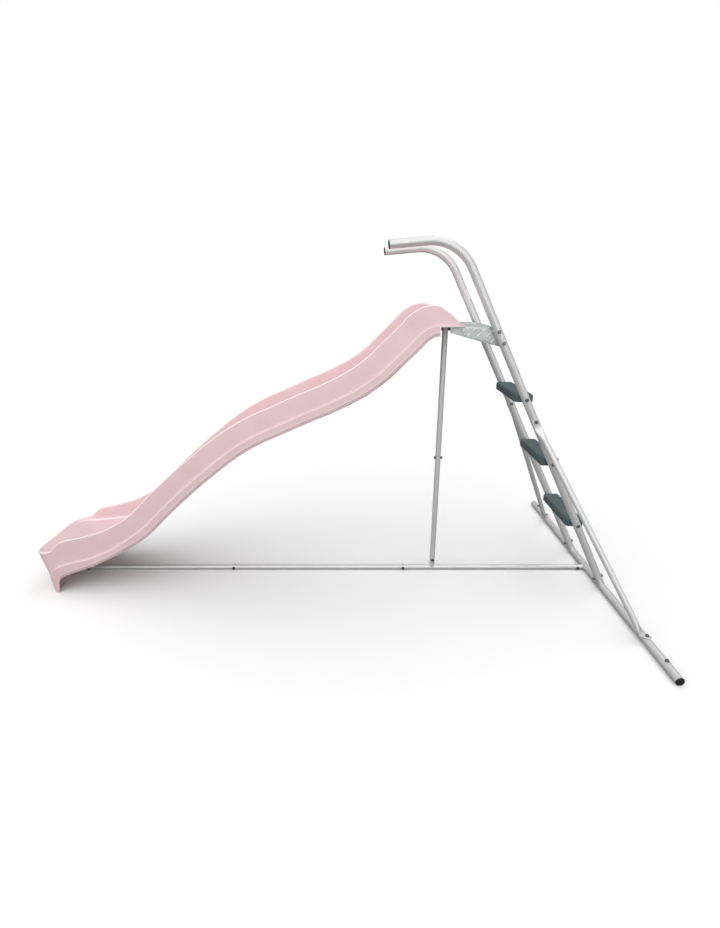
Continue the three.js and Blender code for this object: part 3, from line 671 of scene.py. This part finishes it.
def tread_bar(centre, run, normal, shapes, weights):
    """One raised bar of the checker plate: a low lens with pointed ends."""
    half_length, half_width = 14, 2.9
    side = normal.cross(run)
    # Each level's last figure is the weight of the painted highlight, full on the bar's top.
    levels = [(1, -0.3, 0), (0.97, 0.2, 0.2), (0.82, 0.95, 1), (0.5, 1.25, 1)]
    rings = []
    for scale, height, painted_bar_highlight in levels:
        row = []
        for k in range(12):
            angle = 2 * math.pi * k / 12
            reach = half_length * math.cos(angle) * (0.5 + scale / 2)
            width = half_width * scale * math.sin(angle) * abs(math.sin(angle)) ** 0.3
            row.append(centre + reach * run + width * side + height * normal)
            weights.append(painted_bar_highlight)
        rings.append(row)
    shapes.append(loft(rings, caps=True))


def tread_bars():
    """Rows of bars that all lean one way, each row set half a pitch on from the last."""
    half_pitch, first_bar, top_row, last_bar, clearance = 22.5, 16, 15, 838, 11
    shapes, weights = [], []
    w = TREAD_HALF
    diagonal = math.sqrt(0.5)
    for i in range(8):
        for j in range(-7, 8):
            x, y = DECK_FRONT + first_bar + half_pitch * i, half_pitch * j
            if x < DECK_REAR - 12 and (i + j) % 2:
                tread_bar(Vector((x, y, DECK_TOP)), Vector((diagonal, diagonal, 0)), UP, shapes, weights)
    for side in SIDES.values():
        outward = Vector((0, side, 0))
        for i in range(12):
            for j in range(4):
                x = DECK_FRONT + first_bar + half_pitch * i
                z = DECK_TOP - top_row - half_pitch * j
                low, high = along(SKIRT_LOW, x), along(SKIRT_HIGH, x)
                if z - clearance < low or z + clearance > high or x > last_bar or (i + j) % 2:
                    continue
                run = Vector((diagonal, 0, diagonal))
                tread_bar(Vector((x, side * w, z)), run, outward, shapes, weights)
    return join(*shapes), weights


piece("platform_tray", tray_shape(), PLATE, ["platform"], skin=2.5, bevel=0.5, front=UP)
bars, bar_weights = tread_bars()
# The bars carry the weight for the painted highlight on their tops.
piece("platform_tread_bars", bars, PLATE, weights={"painted_bar_highlight": bar_weights}, sharp=50)

# ---------------------------------------------------------------- steps


def step_shape(centre):
    """A tread moulding with soft edges, open underneath. Its ribs are made as a piece of their own."""
    half_x, half_y, half_z = STEP_DEPTH / 2, TREAD_HALF, STEP_HEIGHT / 2
    plan_corner, top_corner = 13, 9
    rows = []
    levels = [(0, -half_z)] + [(0, z) for z in (-half_z + 8, half_z - top_corner)]
    for angle in spread(0, 90, 5)[1:]:
        turn = math.radians(angle)
        levels.append((top_corner * (1 - math.cos(turn)), half_z - top_corner + top_corner * math.sin(turn)))
    for inset, z in levels:
        row = []
        corner = max(plan_corner - inset, 1)
        for quarter in range(4):
            sx, sy = ((1, 1), (-1, 1), (-1, -1), (1, -1))[quarter]
            cx, cy = sx * (half_x - inset - corner), sy * (half_y - min(inset, 5) - corner)
            for angle in spread(90 * quarter, 90 * quarter + 90, 6):
                turn = math.radians(angle)
                row.append(centre + Vector((cx + corner * math.cos(turn), cy + corner * math.sin(turn), z)))
        rows.append(row)
    points, faces = loft(rows)
    faces.append(tuple(range(len(points) - len(rows[0]), len(points))))
    return points, faces


for name, height in STEP_HEIGHTS.items():
    centre = stile_at_height(height, 0)
    shell = piece(f"tread_{name}", step_shape(centre), SLATE, [f"step_{name}"],
                  skin=4, bevel=0.6, front=UP, sharp=40)
    ribs = []
    for y in (-140, -70, 0, 70, 140):
        outline = [(centre.x - 38, centre.z - 14), (centre.x + 38, centre.z - 14),
                   (centre.x + 38, centre.z + 13), (centre.x - 38, centre.z + 13)]
        ribs.append(slab(outline, y - 1.5, y + 1.5))
    piece(f"tread_ribs_{name}", join(*ribs), SLATE, bevel=0.5)

# ---------------------------------------------------------------- chute

TONGUE_END, FLANGE_END = 680, 560
EXIT_TOP, EXIT_FOOT = 206, 100  # lip height, and how far the front face runs back to the ground
CORNER_X, CORNER_Y = -1425, 125  # centres of the exit's rounded corners

bed_height = smooth([
    (-1525, 214), (-1445, 218), (-1360, 225), (-1213, 241), (-1111, 261), (-1012, 305), (-913, 370),
    (-784, 493), (-665, 601), (-550, 696), (-437, 783), (-354, 837), (-276, 878), (-182, 919),
    (-55, 976), (53, 1021), (201, 1096), (302, 1170), (366, 1232), (429, 1292), (485, 1348),
    (530, 1371), (575, 1373.6), (680, 1373.6),
])
wall_height = smooth([
    (-1525, 1), (-1480, 8), (-1415, 18), (-1390, 40), (-1345, 66), (-1250, 78), (-1146, 90), (-1000, 95),
    (450, 95), (500, 96), (530, 92), (560, 80), (612, 44), (651, 11), (680, 1),
])
flange_depth = smooth([
    (-1525, 260), (-1432, 260), (-1420, 222), (-1406, 158), (-1385, 134), (-1340, 118), (-1213, 86),
    (-1111, 56), (-1012, 45), (300, 45), (680, 45),
])
shoulder_height = smooth([
    (-1525, -230), (-1470, -160), (-1444, -113), (-1421, -82), (-1366, -57), (-1226, -33), (-1118, -10),
    (-990, 8), (-900, 10), (680, 10),
])
widening = smooth([
    (-1525, 12), (-1440, 8), (-1380, 0), (540, 0), (600, -5), (640, -14), (665, -26), (680, -44),
])
# The outer shoulder line round the exit's corner, by the share of the corner that is turned.
exit_shoulder = smooth([
    (0, shoulder_height(CORNER_X)), (0.12, -108), (0.24, -140), (0.36, -178),
    (0.5, -225), (0.62, -262), (1, -262),
])


def rounded(corners, arc_steps, line_steps):
    """A line through corners of (across, up, radius, painted highlight weight), rounded, as (across, up,
    painted highlight weight).
    """
    arcs = []
    for before, corner, after in zip(corners, corners[1:], corners[2:]):
        here = Vector(corner[:2])
        to_before, to_after = Vector(before[:2]) - here, Vector(after[:2]) - here
        bend = math.pi - to_before.angle(to_after, math.pi)
        reach = min(corner[2] * math.tan(bend / 2), 0.45 * to_before.length, 0.45 * to_after.length)
        start, end = here + reach * to_before.normalized(), here + reach * to_after.normalized()
        steps = arc_steps[len(arcs)]
        arc = []
        for t in spread(0, 1, steps):
            spot = (1 - t) ** 2 * start + 2 * t * (1 - t) * here + t**2 * end
            # The painted highlight is strongest at the middle of each rounded corner.
            arc.append((spot.x, spot.y, corner[3] * math.sin(math.pi * t) ** 1.5))
        arcs.append(arc)
    first, last = corners[0], corners[-1]
    line = [(first[0], first[1], first[3])]
    for k, arc in enumerate(arcs + [[(last[0], last[1], last[3])]]):
        out, up, _ = line[-1]
        for t in spread(0, 1, line_steps[k])[1:-1]:
            line.append((out + (arc[0][0] - out) * t, up + (arc[0][1] - up) * t, 0))
        line += arc
    return line


def chute_section(wide, wall, shoulder, depth, lip=6.0, rim_painted_highlight=1.0):
    """From the flat of the bed out over the rim and down the flange, from the corner line outwards."""
    step = min(shoulder, wall - 9)
    tuck = min(wide, 0)
    low = 18 - depth
    # The last figure of each corner is the weight of the painted highlight on that rounded edge.
    corners = [
        (0, 0, 0, 0),
        (184 + wide - CORNER_Y, 0, 16, 0.8),
        (196 + wide - CORNER_Y, wall, 5, 0.9),
        (213 + wide - CORNER_Y, wall, lip, rim_painted_highlight),
        (226 + min(wide, 4) - CORNER_Y, step, 3, 0),
        (232 + tuck - CORNER_Y, step - 9, 5, 1),
        (235 + tuck - CORNER_Y, low, 18, 1),
        (231 + tuck - CORNER_Y, -depth, 0, 0),
    ]
    return rounded(corners, (7, 5, 6, 3, 5, 4), (3, 4, 2, 6, 2, 7, 2))


def side_column(x, side):
    reach = 2
    before, after = x - reach, min(x + reach, TONGUE_END)
    slope = math.atan2(bed_height(after) - bed_height(before), after - before)
    section = chute_section(widening(x), wall_height(x), shoulder_height(x), flange_depth(x))
    column = []
    for r, n, painted_highlight in section:
        spot = Vector((x - n * math.sin(slope), side * (CORNER_Y + r), bed_height(x) + n * math.cos(slope)))
        column.append((spot, painted_highlight))
    return column


def exit_column(origin_y, angle, side):
    """A column that runs out from a corner centre or the front line, over the lip, to the ground."""
    turned = math.sin(angle)
    share = angle / (math.pi / 2)
    wide = widening(CORNER_X) + (12 - widening(CORNER_X)) * share
    wall = wall_height(CORNER_X) + (1 - wall_height(CORNER_X)) * share
    shoulder = exit_shoulder(share)
    column = []
    # The rim's painted highlight fades towards the front of the exit.
    for r, n, painted_highlight in chute_section(wide, wall, shoulder, 250, 6 + 8 * share, 1 - 0.6 * share):
        x, y = CORNER_X - r * turned, origin_y + side * r * math.cos(angle)
        z = bed_height(max(x, -HALF_LENGTH)) + n
        slope_back = EXIT_FOOT * (1 - min(z, EXIT_TOP) / EXIT_TOP) * turned
        column.append((Vector((x + slope_back, y, z)), painted_highlight))
    return column


def chute_shape():
    """The whole skin: the bed's flat middle, and a strip round both sides and the exit."""
    stations = [-1425, -1422, -1419, -1416, -1413, -1410, -1407, -1404, -1400, -1396, -1391, -1386, -1380]
    stations += spread(-1372, -1180, 24) + spread(-1180, 440, 116)[1:] + spread(440, 680, 40)[1:]
    bed_lines = spread(-CORNER_Y, CORNER_Y, 10)
    bed = [[(Vector((x, y, bed_height(x))), 0) for y in bed_lines] for x in stations]
    strip = [side_column(x, -1) for x in reversed(stations)]
    strip += [exit_column(-CORNER_Y, math.radians(a), -1) for a in spread(0, 90, 14)[1:]]
    strip += [exit_column(y, math.pi / 2, 1) for y in bed_lines[1:-1]]
    strip += [exit_column(CORNER_Y, math.radians(a), 1) for a in reversed(spread(0, 90, 14)[1:])]
    strip += [side_column(x, 1) for x in stations]
    points, faces = join(grid(bed), grid(strip))
    return [p for p, _ in points], faces, [weight for _, weight in points]


def cut(work, place, normal, wanted, clear):
    """Cuts the faces that wanted() picks along a plane, and clears what lies beyond it."""
    chosen = [face for face in work.faces if wanted(face.calc_center_median())]
    edges = list({edge for face in chosen for edge in face.edges})
    corners = list({corner for face in chosen for corner in face.verts})
    bmesh.ops.bisect_plane(work, geom=chosen + edges + corners, dist=1e-6, plane_co=Vector(place) * MM,
                           plane_no=normal, clear_outer=clear, clear_inner=False)


def add_chute():
    # The skin carries the weight of its painted highlight along its rims, shoulders and edges.
    points, faces, painted_highlight = chute_shape()
    made = piece("moulded_chute", (points, faces), PINK, ["chute"], skin=5, bevel=1.0,
                 weights={"painted_highlight": painted_highlight}, front=UP, sharp=60)
    work = bmesh.new()
    work.from_mesh(made.data)
    cut(work, (FLANGE_END, 0, 0), ALONG_X, lambda spot: True, False)
    cut(work, (0, 0, DECK_TOP + 0.6), -UP, lambda spot: spot.x > FLANGE_END * MM, True)
    cut(work, (0, 0, 0.2), -UP, lambda spot: spot.z < 0.3, True)
    # The cut edges of the tongue and of the flange's end get the painted highlight, as the rims do.
    edge = work.verts.layers.float["painted_highlight"]
    for corner in work.verts:
        if corner.is_boundary and corner.co.x > (FLANGE_END - 1) * MM:
            corner[edge] = 1
    work.to_mesh(made.data)
    work.free()
    return made


add_chute()

# ---------------------------------------------------------------- chute foot bracket


def foot_bracket_shape():
    """A sloping plate behind the front panel, with a collar on the ground tube's end."""
    lean = EXIT_FOOT / EXIT_TOP
    inside = -1419.0

    def plate_x(z):
        return inside - z * lean

    low, high = 4, 96
    outline = [(plate_x(low), low), (plate_x(low) + 4, low), (plate_x(high) + 4, high), (plate_x(high), high)]
    plate = slab(outline, -80, 80)
    start = plate_x(GROUND_Z) + 3
    reach = GROUND_FRONT - GAP - start
    collar = lathe([(0.01, 0), (SLIM, 0), (SLIM, reach), (0.01, reach)],
                   ground_point(start), ALONG_X)
    return join(plate, collar)


piece("foot_bracket_plate", foot_bracket_shape(), PLATE, ["chute_foot_bracket"], bevel=0.8)

# ---------------------------------------------------------------- bolts


def hexagon(flat, limit):
    """Radius of a hexagon across an angle, cut back to a circle."""
    def radius(angle):
        sector = (angle + math.pi / 6) % (math.pi / 3) - math.pi / 6
        return min(flat / math.cos(sector), limit)
    return radius


def bolt_shape(seat, run, grip, head, flat):
    """Flanged hexagon head, shank and nut, with the shank's end standing a little proud."""
    end = grip + 7
    profile = [
        (0.01, -head), (flat - 1.4, -head), (hexagon(flat, flat + 0.1), -head + 0.1),
        (hexagon(flat, 99), -head + 0.9), (hexagon(flat, 99), -1.5), (flat + 1.2, -1.3), (flat + 1.8, -0.8),
        (flat + 1.8, 0), (3.8, 0.05), (3.8, grip - 0.05),
        (hexagon(7.2, 99), grip), (hexagon(7.2, 99), end - 1),
        (hexagon(7.2, 7.3), end), (4.2, end), (4, end - 0.6), (3.8, end - 0.6), (3.8, end + 1.4),
        (3.1, end + 2), (0.01, end + 2),
    ]
    return lathe(profile, seat, run, 24)


def add_bolt(node, run, grip=None, head=6.0, flat=7.2):
    """A bolt in its CAD bolt's place. Its grip is read from the CAD bolt where that lies along an axis."""
    low, high = (Vector(corner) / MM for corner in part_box(node))
    centre = (low + high) / 2
    if grip is None:
        grip = sum(abs(component) * size for component, size in zip(run, high - low)) - head - 7
    seat = centre - run * ((grip + 7 - head) / 2)
    piece(f"{node}_set", bolt_shape(seat, run, grip, head, flat), ZINC, [node], sharp=28)


FOOT_NORMAL = Vector((EXIT_TOP, 0, EXIT_FOOT)).normalized()

for name, side in SIDES.items():
    inward = Vector((0, -side, 0))
    add_bolt(f"stile_base_bolt_{name}", -STILE_NORMAL, 2 * WIDE_SEAT)
    add_bolt(f"brace_top_bolt_{name}", inward)
    for step_name in STEP_HEIGHTS:
        add_bolt(f"step_bolt_{step_name}_{name}", inward)
    for level in ("low", "high"):
        add_bolt(f"platform_bolt_{level}_{name}", inward)
    add_bolt(f"brace_foot_bolt_{name}", -UP)
    add_bolt(f"anchor_bolt_{name}", -UP)
    add_bolt(f"chute_top_bolt_{name}", -UP, 16, 3, 6)
    add_bolt(f"chute_foot_bolt_{name}", FOOT_NORMAL, 12, 3, 6)
for node in ("ground_joint_bolt_front", "ground_joint_bolt_rear", "ground_front_bolt", "ground_base_bolt",
             "post_base_bolt"):
    add_bolt(node, ALONG_Y)
for node in ("post_joint_bolt", "post_head_bolt"):
    add_bolt(node, ALONG_X)

# ---------------------------------------------------------------- blank labels


def label(name, centre, run, facing, length, half_angle):
    """A film wrapped on a tube: it lies along run and its middle looks along facing."""
    side = run.cross(facing)
    rows = []
    for d in spread(-length / 2, length / 2, 8):
        row = []
        for angle in spread(-half_angle, half_angle, 12):
            turn = math.radians(angle)
            out = math.cos(turn) * facing + math.sin(turn) * side
            row.append(centre + d * run + (WIDE + 0.35) * out)
        rows.append(row)
    piece(name, grid(rows), VINYL, skin=0.25, front=facing)


rail_end = handrail_path(-1)[0][-1]
label("blank_label_rail", rail_end - 66 * RAIL_LEVEL, RAIL_LEVEL, Vector((0, -1, 0)), 30, 10)
facing_far = (Vector((0, -1, 0)) + 0.8 * STILE_NORMAL).normalized()
label("blank_label_stile", stile_at_height(1497, 1), STILE_RUN, facing_far, 56, 12)

# ---------------------------------------------------------------- floor and light


def pale_floor():
    """Matt white paint on board, without a pattern. It throws less light back than it shows."""
    material, tree, shader = new_material("matt_white_floor", Roughness=0.9)
    seen = add(tree, "LightPath").outputs["Is Camera Ray"]
    tree.links.new(mix(tree, seen, linear("7A7A7A"), linear("FFFFFF")), shader.inputs["Base Color"])
    points, faces = grid([[Vector((x, y, 0)) for y in (-9000, 9000)] for x in (-9000, 9000)])
    mesh = bpy.data.meshes.new("floor")
    mesh.from_pydata([p * MM for p in points], [], [face[::-1] for face in faces])
    mesh.materials.append(material)
    floor = bpy.data.objects.new("floor", mesh)
    bpy.context.scene.collection.objects.link(floor)


def studio_world():
    """A white backdrop, with soft light that is strongest from the front, the left and above."""
    world = bpy.data.worlds.new("studio")
    world.use_nodes = True
    tree = world.node_tree
    tree.nodes.clear()
    direction = add(tree, "TexCoord").outputs["Generated"]
    facing = add(tree, "VectorMath", {1: (-0.35, -0.85, 0.4)}, {0: direction}, operation="DOT_PRODUCT")
    limits = {"From Min": -0.35, "From Max": 1, "To Min": WORLD_LOW, "To Max": WORLD_HIGH}
    soft = add(tree, "MapRange", limits, {"Value": facing.outputs["Value"]})
    seen = add(tree, "LightPath").outputs["Is Camera Ray"]
    strength = add(tree, "Mix", {3: 1.0}, {0: seen, 2: soft.outputs[0]}, data_type="FLOAT")
    back = add(tree, "Background", {"Color": (1, 1, 1, 1)}, {"Strength": strength.outputs[0]})
    add(tree, "OutputWorld", links={"Surface": back.outputs[0]})
    bpy.context.scene.world = world


def sun(name, from_direction, softness, strength):
    data = bpy.data.lights.new(name, "SUN")
    data.angle = math.radians(softness)
    data.energy = strength
    lamp = bpy.data.objects.new(name, data)
    lamp.rotation_euler = (-Vector(from_direction)).to_track_quat("-Z", "Y").to_euler()
    bpy.context.scene.collection.objects.link(lamp)


WORLD_LOW, WORLD_HIGH = 0.3, 1.6
pale_floor()
studio_world()
sun("overhead", (0.35, 0.4, 1.0), 35, 0.45)
bpy.context.scene.view_settings.view_transform = "Standard"
